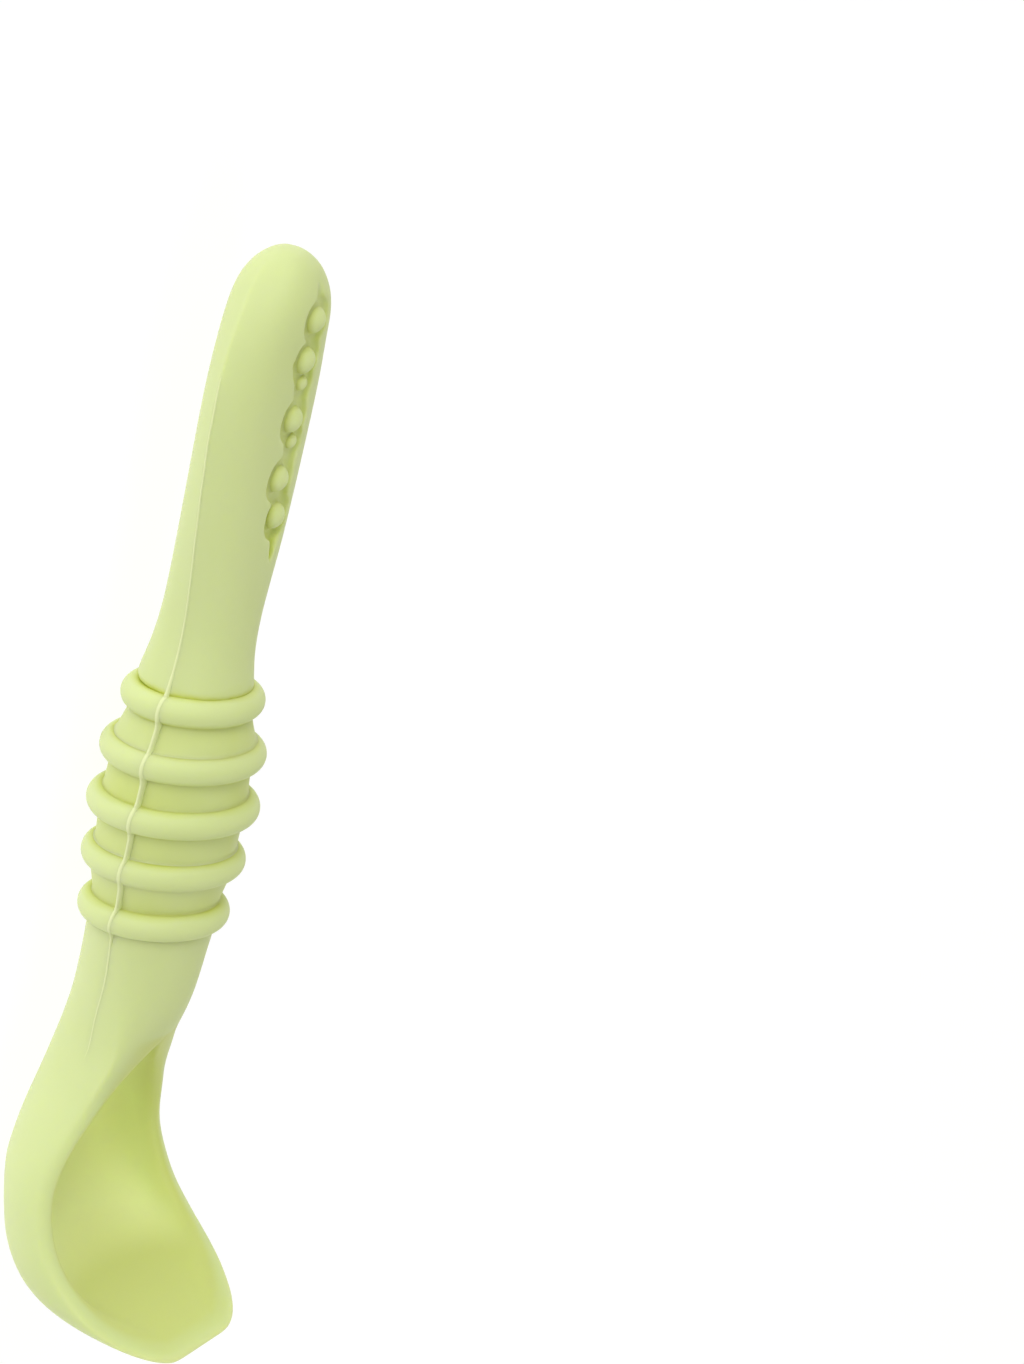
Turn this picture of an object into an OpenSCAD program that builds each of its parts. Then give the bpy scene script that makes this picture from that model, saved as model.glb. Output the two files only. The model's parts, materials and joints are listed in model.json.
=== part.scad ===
// Soft baby spoon, moulded in one colour: a flat teething handle with a
// recessed row of nubs, a thick neck with five grip rings that stop the
// spoon from going in too far, and a deep scoop with a squared tip.
// It lies on its back: X runs from the handle's end to the tip,
// the bowl opens up along +Z, and the two sides mirror in Y.

/* [Overall] */
// Length from the handle's end to the tip
spoon_length = 117.6; // [96:1:150]
// Depth of the flats that it rests on, under two rings and the bowl
rest_flat = 0.3; // [0.1:0.05:0.5]

/* [Handle] */
// Length of the handle up to the neck
handle_length = 47.6; // [38:0.2:60]
// Width of the handle at its widest
handle_width = 17.2; // [13:0.2:24]
// Thickness over the flat grip
handle_thickness = 9; // [6:0.2:12]
// Width at the waist, before the handle flares to the neck
waist_width = 9.6; // [7:0.2:11]
// Thickness at the waist
waist_thickness = 9.8; // [7:0.2:11]
// Rise of the grip over the neck's lower end
grip_rise = 0.4; // [0:0.1:3]

/* [Teething nubs] */
// Diameter of the large nubs
large_nub_d = 3; // [2:0.1:4]
// Diameter of the small nubs
small_nub_d = 1.7; // [1:0.1:2.4]
// Height of the large nubs above the floor of their recess
large_nub_height = 1.4; // [0.6:0.1:2.4]
// Height of the small nubs above the floor of their recess
small_nub_height = 0.9; // [0.4:0.1:2]
// Distance from the handle's end to the middle nub
nub_row_middle = 17.2; // [15:0.2:24]
// Distance from the outermost nub to the middle one
nub_row_reach = 10.6; // [9:0.2:13]
// Depth of the recess that the nubs stand in
recess_depth = 0.9; // [0.6:0.1:2]
// Gap between a nub and the edge of the recess
recess_margin = 1; // [0.6:0.1:1.6]

/* [Neck and rings] */
// Diameter of the neck core at its thickest
neck_d = 14.8; // [12:0.2:18]
// Diameter of the neck core where the handle ends
neck_start_d = 12.4; // [11:0.2:14]
// Diameter of the neck core where the bowl starts
neck_end_d = 13; // [10:0.2:14]
// How far the middle ring stands out from the neck
ring_stand = 1.5; // [0.8:0.1:1.8]
// Thickness of each ring along the neck
ring_width = 3; // [2:0.1:4]
// Distance from one ring to the next
ring_pitch = 5.9; // [4.6:0.1:7]
// Upward slope of the neck towards the bowl, in degrees
neck_slope = 1.4; // [0:0.1:5]

/* [Bowl] */
// Width over the rim
bowl_width = 28; // [20:0.2:36]
// Wall thickness at the rim
bowl_wall = 2.6; // [2:0.1:4]
// Height of the lowest stretch of the rim
rim_height = 9.7; // [8:0.1:14]
// Height of the rim at the tip
tip_height = 25.8; // [16:0.1:30]
// Width that the outline narrows to at the tip
tip_width = 13.4; // [10:0.2:20]
// Thickness of the bowl's floor
floor_thickness = 2.4; // [1.6:0.1:4]

/* [Hidden] */

silicone = [0.80, 0.84, 0.56];
silicone_light = [0.84, 0.88, 0.62];
silicone_deep = [0.76, 0.80, 0.50];

// Facets of the exact round shapes, and of the lofted skins
round_facets = 96;
section_points = 48;
handle_steps = 30;
bowl_steps = 54;
tip_steps = 6;
overrun = 2;

function mix(a, b, t) = a + (b - a) * t;
function ease(t) = t <= 0 ? 0 : t >= 1 ? 1 : t * t * (3 - 2 * t);

// Value at place u on a smooth curve through a short table of rows
function last_row(table, u, i = 0) =
    i >= len(table) - 2 || u < table[i + 1][0] ? i : last_row(table, u, i + 1);
function slope_at(table, i) =
    let (a = max(i - 1, 0), b = min(i + 1, len(table) - 1))
    (table[b][1] - table[a][1]) / (table[b][0] - table[a][0]);
function curve(table, u) =
    let (
        i = last_row(table, u),
        span = table[i + 1][0] - table[i][0],
        t = max(0, min(1, (u - table[i][0]) / span)),
        m0 = slope_at(table, i) * span,
        m1 = slope_at(table, i + 1) * span
    )
    (2 * t^3 - 3 * t^2 + 1) * table[i][1] + (t^3 - 2 * t^2 + t) * m0
    + (3 * t^2 - 2 * t^3) * table[i + 1][1] + (t^3 - t^2) * m1;

// Rounds off the end of a loft: 0 at the end, 1 from the given share on
function cap(u, share, power) =
    u >= share ? 1 : (1 - (1 - u / share) ^ power) ^ (1 / power);

// Sine or cosine of an outline between an ellipse and a rectangle
function squared(c, power) = sign(c) * abs(c) ^ (2 / power);

// Closed skin over a list of sections with the same number of points
module skin(sections) {
    rows = len(sections);
    n = len(sections[0]);
    points = [for (section = sections) each section];
    sides = [
        for (r = [0 : rows - 2], i = [0 : n - 1])
            let (
                a = r * n + i,
                b = r * n + (i + 1) % n,
                c = a + n,
                d = b + n
            )
            each [[a, c, b], [b, c, d]]
    ];
    start_face = [for (i = [0 : n - 1]) i];
    end_face = [for (i = [n - 1 : -1 : 0]) (rows - 1) * n + i];
    polyhedron(points, concat(sides, [start_face, end_face]), convexity = 6);
}

// The line that the neck follows, and the planes that it starts and ends at.
// The middle ring's flat rests on the surface.
neck_reach = 2 * ring_pitch + ring_width / 2;
handle_end_x = -spoon_length / 2;
neck_start_x = handle_end_x + handle_length;
neck_middle_x = neck_start_x + neck_reach * cos(neck_slope);
neck_end_x = neck_middle_x + neck_reach * cos(neck_slope);
neck_middle_z = neck_d / 2 + ring_stand - rest_flat;
neck_start_z = neck_middle_z - neck_reach * sin(neck_slope);
neck_end_z = neck_middle_z + neck_reach * sin(neck_slope);

module on_neck(along = 0) {
    translate([neck_middle_x, 0, neck_middle_z])
        rotate([0, 90 - neck_slope, 0])
            translate([0, 0, along])
                children();
}

// Handle: a flat paddle with a round end that tapers to a round root
handle_cap_share = 0.36;
handle_cap_power = 2;
handle_plan_shares = [[0, 1], [0.36, 1], [0.6, 0.64], [0.82, 0.07], [0.9, 0], [1, 0]];
handle_side_shares = [[0, 0], [0.5, 0], [0.82, 1], [1, 1]];
root_flare_shares = [[0, 0], [0.8, 0], [0.9, 0.22], [1, 1]];
grip_rise_shares = [[0, 1], [0.6, 1], [0.9, 0.1], [1, 0]];
handle_thickness_cap_share = 0.12;
handle_section_power = 2.3;
root_step_share = 0.1;
root_step = ring_width * root_step_share;
handle_first_share = 0.0012;

function handle_half_width(u) =
    cap(u, handle_cap_share, handle_cap_power)
    * (mix(waist_width, handle_width, curve(handle_plan_shares, u))
        + (neck_start_d - root_step - waist_width) * curve(root_flare_shares, u)) / 2;
function handle_half_thickness(u) =
    cap(u, handle_thickness_cap_share, handle_cap_power)
    * (mix(handle_thickness, waist_thickness, curve(handle_side_shares, u))
        + (neck_start_d - root_step - waist_thickness) * curve(root_flare_shares, u)) / 2;

function section_power(u) = mix(handle_section_power, 2, ease(2 * u - 1));

// The last section leans with the neck, so that it seats on it
function handle_section(u) = [
    for (i = [0 : section_points - 1])
        let (
            a = 360 * i / section_points,
            y = handle_half_width(u) * squared(cos(a), section_power(u)),
            z = handle_half_thickness(u) * squared(sin(a), section_power(u))
        )
        [
            handle_end_x + u * handle_length - ease(u) * z * tan(neck_slope),
            y,
            neck_start_z + grip_rise * curve(grip_rise_shares, u) + z
        ]
];

module handle_blank() {
    skin([
        for (k = [0 : handle_steps])
            let (t = k / handle_steps)
            handle_section(mix(handle_first_share, 1, mix(t * t, t, t)))
    ]);
}

// Nubs: [place along the row, place across it] as shares of the row's reach
large_nub_shares = [[-1, 0.04], [-0.6, 0], [0, 0], [0.6, -0.03], [1, 0.06]];
small_nub_shares = [[-0.36, 0.04], [0.24, 0.08]];
recess_floor_z = neck_start_z + grip_rise + handle_thickness / 2 - recess_depth;
recess_tail_share = 0.3;
recess_tail = nub_row_reach * recess_tail_share;

function nub_place(share) = [
    handle_end_x + nub_row_middle + share[0] * nub_row_reach,
    share[1] * nub_row_reach
];

module nub(d, height) {
    ball_r = (d * d / 4 + height * height) / (2 * height);
    intersection() {
        translate([0, 0, height - ball_r])
            sphere(r = ball_r, $fn = round_facets);
        cylinder(d = d, h = height + overrun, $fn = round_facets);
    }
}

module large_nubs() {
    color(silicone_light)
        for (share = large_nub_shares)
            translate(concat(nub_place(share), recess_floor_z))
                nub(large_nub_d, large_nub_height);
}

module small_nubs() {
    color(silicone_light)
        for (share = small_nub_shares)
            translate(concat(nub_place(share), recess_floor_z))
                nub(small_nub_d, small_nub_height);
}

// Scalloped outline of the recess: a round for each nub, a slot and two tails
module recess_outline() {
    slot_w = small_nub_d + recess_margin;
    first = nub_place(large_nub_shares[0]);
    last = nub_place(large_nub_shares[len(large_nub_shares) - 1]);
    for (share = large_nub_shares)
        translate(nub_place(share))
            circle(d = large_nub_d + 2 * recess_margin, $fn = round_facets);
    for (share = small_nub_shares)
        translate(nub_place(share))
            circle(d = small_nub_d + 2 * recess_margin, $fn = round_facets);
    polygon([
        [first[0] - recess_tail - large_nub_d / 2, first[1]],
        [first[0], first[1] - slot_w / 2],
        [last[0], last[1] - slot_w / 2],
        [last[0] + recess_tail + large_nub_d / 2, last[1]],
        [last[0], last[1] + slot_w / 2],
        [first[0], first[1] + slot_w / 2]
    ]);
}

module handle() {
    color(silicone)
        difference() {
            handle_blank();
            translate([0, 0, recess_floor_z])
                linear_extrude(height = recess_depth + overrun)
                    recess_outline();
        }
}

// Neck core: five straight seats for the rings, joined by shallow waists
ring_stand_shares = [0.79, 0.9, 1, 0.81, 0.89];
neck_bulge_power = 2.5;
ring_d = neck_d + 2 * ring_stand;
function ring_along(i) = (i - 2) * ring_pitch;
function seat_d(i) =
    let (t = abs(ring_along(i)) / (2 * ring_pitch))
    mix(neck_d, i < 2 ? neck_start_d : neck_end_d, t ^ neck_bulge_power);

module neck() {
    seats = [
        for (i = [0 : 4])
            each [
                [seat_d(i) / 2, ring_along(i) - ring_width / 2],
                [seat_d(i) / 2, ring_along(i) + ring_width / 2]
            ]
    ];
    color(silicone_deep)
        on_neck()
            rotate_extrude($fn = round_facets)
                polygon(concat([[0, -neck_reach]], seats, [[0, neck_reach]]));
}

function ring_r(i) = seat_d(i) / 2 + ring_stand * ring_stand_shares[i];

module bead(i) {
    on_neck(ring_along(i))
        rotate_extrude($fn = round_facets)
            difference() {
                translate([ring_r(i) - ring_width / 2, 0])
                    circle(d = ring_width, $fn = round_facets);
                translate([0, -ring_width])
                    square([seat_d(i) / 2, 2 * ring_width]);
            }
}

// A ring that dips below the surface is cut flat there
module ring(i) {
    dips = neck_middle_z + ring_along(i) * sin(neck_slope) < ring_r(i);
    color(silicone_light)
        if (dips)
            difference() {
                bead(i);
                translate([neck_middle_x + ring_along(i) - ring_d / 2, -ring_d / 2, -ring_d])
                    cube(ring_d);
            }
        else
            bead(i);
}

module ring_1() {
    ring(0);
}
module ring_2() {
    ring(1);
}
module ring_3() {
    ring(2);
}
module ring_4() {
    ring(3);
}
module ring_5() {
    ring(4);
}

// Bowl: sections morph from a round throat to an open scoop.
// Places along it are shares of its length, from the neck to the tip.
bowl_length = handle_end_x + spoon_length - neck_end_x;
throat_d = neck_end_d;
rim_r = bowl_wall / 2;

// Roundness of the sections: at the throat, over the bowl, and in its last share
throat_section_power = 2;
bowl_section_power = 1.85;
tip_section_power = 2.5;
tip_section_share = 0.3;

// Half width: 0 is the throat's, 1 the bowl's. The last rows narrow to the tip's.
tip_narrow_shares = [0.91, 0.64, 0.26, 0];
function towards_tip(share) =
    mix((tip_width - throat_d) / (bowl_width - throat_d), 1, share);
bowl_plan_shares = [
    [0, 0], [0.15, -0.06], [0.3, -0.02], [0.42, 0.18], [0.54, 0.52], [0.66, 0.82],
    [0.76, 0.96], [0.84, 1], [0.91, towards_tip(tip_narrow_shares[0])],
    [0.955, towards_tip(tip_narrow_shares[1])],
    [0.985, towards_tip(tip_narrow_shares[2])], [1, towards_tip(tip_narrow_shares[3])]
];
// Rim height: 0 is its lowest stretch, 1 the tip
rim_rise_shares = [
    [0, 0.25], [0.3, 0.2], [0.45, 0.07], [0.6, 0], [0.7, 0.05],
    [0.8, 0.21], [0.9, 0.53], [1, 1]
];
// Underside: falls from the neck's to the flat that it rests on, and climbs to the tip
keel_neck_shares = [
    [0, 1], [0.12, 0.98], [0.24, 0.86], [0.42, 0.4], [0.54, 0.1], [0.64, 0]
];
keel_tip_shares = [
    [0.64, 0], [0.74, 0.045], [0.84, 0.13], [0.92, 0.27], [0.97, 0.48], [1, 1]
];
// Top of the throat, falling away into the cavity
crown_shares = [[0, 1], [0.2, 0.93], [0.45, 0.68], [1, 0.5]];
keel_low_share = 0.64;

// Where the cavity starts and is at its deepest, and how long the rim takes to form.
// Each top starts with land, up to this share of the way round, and the rest sinks in.
cavity_start_share = 0.318;
cavity_middle_share = 0.7;
opening_share = 0.24;
lip_share = 0.25;

// Along the bowl: where the floor has thickened, the side line has settled,
// and the sections no longer lean with the neck
floor_thicken_share = 0.25;
side_settle_share = 0.45;
lean_end_share = 0.3;

// Shape of the cavity: its fall from both ends, its section, its narrowing
// towards the tip, and towards the point that it starts with
cavity_lead_power = 2.6;
cavity_start_power = 0.9;
cavity_end_power = 0.6;
cavity_start_section_power = 1.8;
cavity_section_power = 2.4;
cavity_narrow_share = 0.42;
cavity_narrow_power = 6;
cavity_point_share = 0.8;
cavity_point_power = 5;

// The tip's rounding: how blunt it ends, how far it turns, how close its sections
// lie, and how many roundings its wall is thick
tip_blunt_share = 0.05;
tip_turn = 88;
tip_crowd_share = 0.5;
tip_wall_share = 1.75;

tip_round_share = rim_r / bowl_length;
cavity_end_share = 1 - tip_wall_share * tip_round_share;
function tip_round(u) =
    u < 1 - tip_round_share ? 1
    : sqrt(max(0, 1 - ((u - 1 + tip_round_share) / tip_round_share) ^ 2));

function bowl_half_width(u) =
    mix(throat_d, bowl_width, curve(bowl_plan_shares, u)) / 2
    - rim_r * (1 - tip_round(u));
function rim_middle_z(u) =
    mix(rim_height, tip_height, curve(rim_rise_shares, u)) - rim_r;
function rim_z(u) = rim_middle_z(u) + rim_r * max(tip_blunt_share, tip_round(u));
function crown_z(u) = (neck_end_z + throat_d / 2) * curve(crown_shares, u);
function keel_z(u) =
    u < keel_low_share
    ? mix(-rest_flat, neck_end_z - throat_d / 2, curve(keel_neck_shares, u))
    : mix(-rest_flat, tip_height - bowl_wall, curve(keel_tip_shares, u))
        + rim_r * (1 - max(tip_blunt_share, tip_round(u)));
function openness(u) = ease((u - cavity_start_share) / opening_share);

// How far a place is from the middle of the cavity to its end, at most 1
function cavity_reach(u) =
    let (
        ahead = u > cavity_middle_share,
        end_share = ahead ? cavity_end_share : cavity_start_share
    )
    min(1, (u - cavity_middle_share) / (end_share - cavity_middle_share));
function side_z(u) = mix(neck_end_z, rim_middle_z(u), ease(u / side_settle_share));
function section_roundness(u) =
    mix(throat_section_power, bowl_section_power, ease(2 * u))
    + (tip_section_power - bowl_section_power) * ease(1 + (u - 1) / tip_section_share);

// The land beside the cavity: a quarter round where the cavity starts, which
// turns into the half round of the rim. The lip is its inner edge.
function land_turn(u) = mix(90, 180, openness(u));
function land_power(u) = mix(section_roundness(u), 2, openness(u));
function land_z(u) = mix(crown_z(u), rim_z(u), openness(u));
function lip_z(u) = mix(side_z(u), land_z(u), squared(sin(land_turn(u)), land_power(u)));

function cavity_floor_z(u) =
    let (
        ahead = u > cavity_middle_share,
        slant = 1 + ease((u - cavity_middle_share) / floor_thicken_share),
        depth = lip_z(u) - keel_z(u) - slant * floor_thickness,
        past_end = (u - cavity_end_share) / tip_round_share + 0.5
    )
    lip_z(u)
    - max(0, depth) * (1 - cavity_reach(u) ^ cavity_lead_power)
        ^ (ahead ? cavity_end_power : cavity_start_power)
    + (rim_z(u) - rim_middle_z(u)) * ease(past_end);
function cavity_half_width(u) =
    let (
        narrow = u > cavity_middle_share
            ? cavity_narrow_share * cavity_reach(u) ^ cavity_narrow_power
            : cavity_point_share * cavity_reach(u) ^ cavity_point_power
    )
    (bowl_half_width(u) - bowl_wall) * (1 - narrow);

function round_point(u, a) =
    let (
        reach = a < 180 ? crown_z(u) - side_z(u) : side_z(u) - keel_z(u),
        power = section_roundness(u)
    )
    [
        bowl_half_width(u) * squared(cos(a), power),
        side_z(u) + reach * squared(sin(a), power)
    ];

// Points over the throat crowd towards the middle, to meet those of the cavity
function crowded(u, m) =
    let (
        even = 180 * lip_share,
        start_half = cavity_half_width(cavity_start_share) / bowl_half_width(cavity_start_share),
        lip_angle = mix(even, acos(start_half), ease(u / cavity_start_share))
    )
    m < lip_share
    ? lip_angle * m / lip_share
    : mix(lip_angle, 90, (m - lip_share) / (0.5 - lip_share));

// A point over the land and the cavity, from the side at 0 to the middle at 0.5
function open_point(u, m) =
    let (
        turn = land_turn(u) * m / lip_share,
        power = land_power(u),
        outer = bowl_half_width(u),
        inner = cavity_half_width(u),
        across = (1 - squared(cos(turn), power)) / (1 - squared(cos(land_turn(u)), power)),
        inward = turn > 90 && u > cavity_middle_share,
        foot_z = max(side_z(u), inward ? cavity_floor_z(u) : 0),
        fall = 90 * (m - lip_share) / (0.5 - lip_share),
        hollow = mix(cavity_start_section_power, cavity_section_power, openness(u)),
        edge_z = max(lip_z(u), cavity_floor_z(u))
    )
    m < lip_share
    ? [mix(outer, inner, across), mix(foot_z, land_z(u), squared(sin(turn), power))]
    : [
        inner * squared(cos(fall), hollow),
        mix(edge_z, cavity_floor_z(u), squared(sin(fall), hollow))
    ];

function bowl_section(u) = [
    for (i = [0 : section_points - 1])
        let (
            a = 360 * i / section_points,
            side = a > 90 ? -1 : 1,
            m = (side > 0 ? a : 180 - a) / 180,
            half = u < cavity_start_share ? round_point(u, crowded(u, m)) : open_point(u, m),
            p = a < 180 ? [side * half[0], half[1]] : round_point(u, a),
            lean = (1 - ease(u / lean_end_share)) * (p[1] - neck_end_z) * tan(neck_slope)
        )
        [neck_end_x + u * bowl_length - lean, p[0], max(0, p[1])]
];

module bowl() {
    body_steps = bowl_steps - tip_steps;
    color(silicone)
        skin(concat(
            [
                for (k = [0 : body_steps])
                    let (t = k / body_steps)
                    bowl_section(mix(t, sin(90 * t), tip_crowd_share) * (1 - tip_round_share))
            ],
            [
                for (k = [1 : tip_steps])
                    bowl_section(1 - tip_round_share * (1 - sin(tip_turn * k / tip_steps)))
            ]
        ));
}

handle();
large_nubs();
small_nubs();
neck();
ring_1();
ring_2();
ring_3();
ring_4();
ring_5();
bowl();
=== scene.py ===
# %% [markdown]
# # A soft baby spoon
#
# The real spoon is one moulding of pale lime silicone: a flat handle with a row of teething nubs in
# a shallow recess, a thick neck with five round rings, and a deep scoop with a squared, upturned
# tip. The CAD model holds its sizes. This lesson builds its skin around that model: soft edges, the
# line that the two halves of the mould leave, and a matt, slightly translucent finish.

# %% Load the CAD frame
import json
import math

import bmesh
import bpy
import numpy as np
from mathutils import Matrix, Vector
from mathutils.bvhtree import BVHTree

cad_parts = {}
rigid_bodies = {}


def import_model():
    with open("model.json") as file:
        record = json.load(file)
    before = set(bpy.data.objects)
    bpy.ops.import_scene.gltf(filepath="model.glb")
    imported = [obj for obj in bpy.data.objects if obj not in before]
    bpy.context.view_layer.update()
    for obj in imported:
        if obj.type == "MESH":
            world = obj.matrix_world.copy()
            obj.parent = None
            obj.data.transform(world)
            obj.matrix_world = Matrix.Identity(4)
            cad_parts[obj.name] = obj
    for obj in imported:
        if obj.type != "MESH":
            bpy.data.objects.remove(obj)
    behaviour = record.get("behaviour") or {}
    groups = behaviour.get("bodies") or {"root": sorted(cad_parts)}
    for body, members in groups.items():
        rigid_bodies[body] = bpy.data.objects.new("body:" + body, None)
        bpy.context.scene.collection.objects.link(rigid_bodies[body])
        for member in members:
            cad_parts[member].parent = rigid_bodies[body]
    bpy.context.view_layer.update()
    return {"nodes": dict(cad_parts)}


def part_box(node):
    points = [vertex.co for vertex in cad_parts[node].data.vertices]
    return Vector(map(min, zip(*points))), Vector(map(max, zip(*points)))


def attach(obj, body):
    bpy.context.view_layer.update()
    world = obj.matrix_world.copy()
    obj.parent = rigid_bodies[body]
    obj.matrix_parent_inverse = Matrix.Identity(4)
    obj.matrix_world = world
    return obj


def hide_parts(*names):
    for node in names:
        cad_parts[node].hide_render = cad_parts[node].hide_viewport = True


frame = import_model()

MM = 0.001

# %% [markdown]
# ## The camera
#
# The photograph looks at the spoon's near side from a little above, with the camera turned until
# the spoon hangs almost straight down the picture. The two directions below were fitted to the
# outlines of the five round rings. A long lens keeps the lines nearly parallel, as in a studio
# shot. The camera is turned, and not shifted, to put the spoon at the left of the picture, so other
# views stay centred.

# %% Place the camera
PHOTO_WIDTH, PHOTO_HEIGHT = 1024, 1364
PIXELS_PER_METRE = 9800
CAMERA_DISTANCE = 0.75
ANCHOR = Vector((0.0002, 0, 0.00636))
ANCHOR_PIXEL = (158, 776)

picture_right = Vector((-0.19, 0.490, 0.850)).normalized()
picture_up = Vector((-0.901, 0.252, -0.354))
picture_up = (picture_up - picture_up.dot(picture_right) * picture_right).normalized()
to_camera = picture_right.cross(picture_up)

focal_pixels = PIXELS_PER_METRE * CAMERA_DISTANCE
beside = PHOTO_WIDTH / 2 - ANCHOR_PIXEL[0]
above = ANCHOR_PIXEL[1] - PHOTO_HEIGHT / 2
sight = (-to_camera * focal_pixels + picture_right * beside + picture_up * above).normalized()
right = (picture_right - picture_right.dot(sight) * sight).normalized()
up = right.cross(sight)

camera_data = bpy.data.cameras.new("camera")
camera = bpy.data.objects.new("camera", camera_data)
bpy.context.scene.collection.objects.link(camera)
bpy.context.scene.camera = camera
camera_data.sensor_width = 36
camera_data.lens = focal_pixels * camera_data.sensor_width / PHOTO_HEIGHT
turn = Matrix((right, up, -sight)).transposed()
camera.matrix_world = Matrix.Translation(ANCHOR + to_camera * CAMERA_DISTANCE) @ turn.to_4x4()
print("Lens in mm:", round(camera_data.lens, 1))

# %% [markdown]
# ## Floor and light
#
# A product like this is shot in a light tent: white cloth all round and a lit white table, so that
# light reaches it from every side and the shadow nearly vanishes. The floor here does the same: it
# gives off soft light of its own, and the camera sees it as white. The tent's cloth is slightly
# warm where it lights the spoon, and white where the camera or a reflection sees it.

# %% Lay the lit white floor
FLOOR_GLOW, FLOOR_GLOW_SEEN = 1.0, 0.90
TABLE_CLOTH = (0.16, 0.16, 0.16, 1)

bpy.ops.object.select_all(action="DESELECT")
bpy.ops.mesh.primitive_plane_add(size=8, location=(0, 0, 0))
floor = bpy.context.active_object
floor.name = "floor"

floor_finish = bpy.data.materials.new("lit white table")
floor_finish.use_nodes = True
nodes, links = floor_finish.node_tree.nodes, floor_finish.node_tree.links
nodes.clear()
out = nodes.new("ShaderNodeOutputMaterial")
glow = nodes.new("ShaderNodeEmission")
cloth = nodes.new("ShaderNodeBsdfDiffuse")
both = nodes.new("ShaderNodeAddShader")
path = nodes.new("ShaderNodeLightPath")
level = nodes.new("ShaderNodeMapRange")
level.inputs["To Min"].default_value = FLOOR_GLOW
level.inputs["To Max"].default_value = FLOOR_GLOW_SEEN
cloth.inputs["Color"].default_value = TABLE_CLOTH
links.new(path.outputs["Is Camera Ray"], level.inputs["Value"])
links.new(level.outputs["Result"], glow.inputs["Strength"])
links.new(glow.outputs[0], both.inputs[0])
links.new(cloth.outputs[0], both.inputs[1])
links.new(both.outputs[0], out.inputs["Surface"])
floor.data.materials.append(floor_finish)
print("Floor laid at z =", floor.location.z)

# %% Hang the white tent
TENT_GLOW, TENT_GLOW_SEEN = 0.5, 1.0
TENT_CLOTH, WHITE = (1, 1, 0.86, 1), (1, 1, 1, 1)

tent = bpy.data.worlds.new("white tent")
bpy.context.scene.world = tent
tent.use_nodes = True
nodes, links = tent.node_tree.nodes, tent.node_tree.links
backdrop = nodes["Background"]
path = nodes.new("ShaderNodeLightPath")
seen = nodes.new("ShaderNodeMath")
seen.operation = "MAXIMUM"
level = nodes.new("ShaderNodeMapRange")
level.inputs["To Min"].default_value = TENT_GLOW
level.inputs["To Max"].default_value = TENT_GLOW_SEEN
links.new(path.outputs["Is Camera Ray"], seen.inputs[0])
links.new(path.outputs["Is Glossy Ray"], seen.inputs[1])
links.new(seen.outputs[0], level.inputs["Value"])
links.new(level.outputs["Result"], backdrop.inputs["Strength"])
cloth = nodes.new("ShaderNodeMix")
cloth.data_type = "RGBA"
cloth.inputs[6].default_value = TENT_CLOTH
cloth.inputs[7].default_value = WHITE
links.new(seen.outputs[0], cloth.inputs[0])
links.new(cloth.outputs[2], backdrop.inputs["Color"])
print("Tent glows at", TENT_GLOW)

# %% [markdown]
# ## Lamps
#
# The tent alone would leave the spoon flat. Three square lamps give it its form. The key lamp
# stands low on the near side, so that the side of the handle is the brightest part and the front
# turns a little darker. A weak one hangs over the bowl, and a large one beyond the handle's end
# lightens the tops of the rings. A large lamp far away gives soft shadows without edges.


# %% Set the soft lamps
def softbox(name, place, size, watts):
    """A square lamp of a given size that faces the spoon."""
    lamp_data = bpy.data.lights.new(name, "AREA")
    lamp_data.size = size
    lamp_data.energy = watts
    lamp = bpy.data.objects.new(name, lamp_data)
    bpy.context.scene.collection.objects.link(lamp)
    lamp.location = place
    lamp.rotation_euler = (-Vector(place)).to_track_quat("-Z", "Y").to_euler()
    return lamp


softbox("key", (-0.7, -0.7, 0.17), 0.5, 3.8)
softbox("top", (0.3, 0.05, 0.45), 0.3, 0.5)
softbox("end", (-1.2, -0.15, 0.55), 0.6, 2.8)
print("Lamps:", [light.name for light in bpy.data.lights])
bpy.context.scene.view_settings.view_transform = "Standard"


# %% [markdown]
# ## Helpers for modelling
#
# Every piece below starts as a primitive or as a welded copy of a CAD solid, and is shaped by the
# same operators that a person uses in edit mode. An operator acts on whatever is selected, so each
# step first selects exactly what it needs.

# %% Select, edit and finish one piece
def only(piece):
    """Makes this piece the one that is selected and active."""
    bpy.ops.object.select_all(action="DESELECT")
    piece.select_set(True)
    bpy.context.view_layer.objects.active = piece


def added(name):
    """Names the primitive that was just added."""
    piece = bpy.context.active_object
    piece.name = name
    piece.data.name = name
    return piece


def pick(piece, wanted):
    """In edit mode, selects only the vertices whose place passes the test."""
    bpy.ops.mesh.select_mode(type="VERT")
    bpy.ops.mesh.select_all(action="DESELECT")
    mesh = bmesh.from_edit_mesh(piece.data)
    for vertex in mesh.verts:
        vertex.select = wanted(vertex.co)
    mesh.select_flush(True)
    bmesh.update_edit_mesh(piece.data)


def apply_modifier(piece, kind, **settings):
    """Adds a modifier, sets it and applies it at once."""
    only(piece)
    modifier = piece.modifiers.new(kind.lower(), kind)
    for setting, value in settings.items():
        setattr(modifier, setting, value)
    bpy.ops.object.modifier_apply(modifier=modifier.name)


def rest_place(piece):
    """Puts a piece's place into its mesh, so that its object sits at the origin."""
    only(piece)
    bpy.ops.object.transform_apply(location=True, rotation=True, scale=True)


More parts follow.
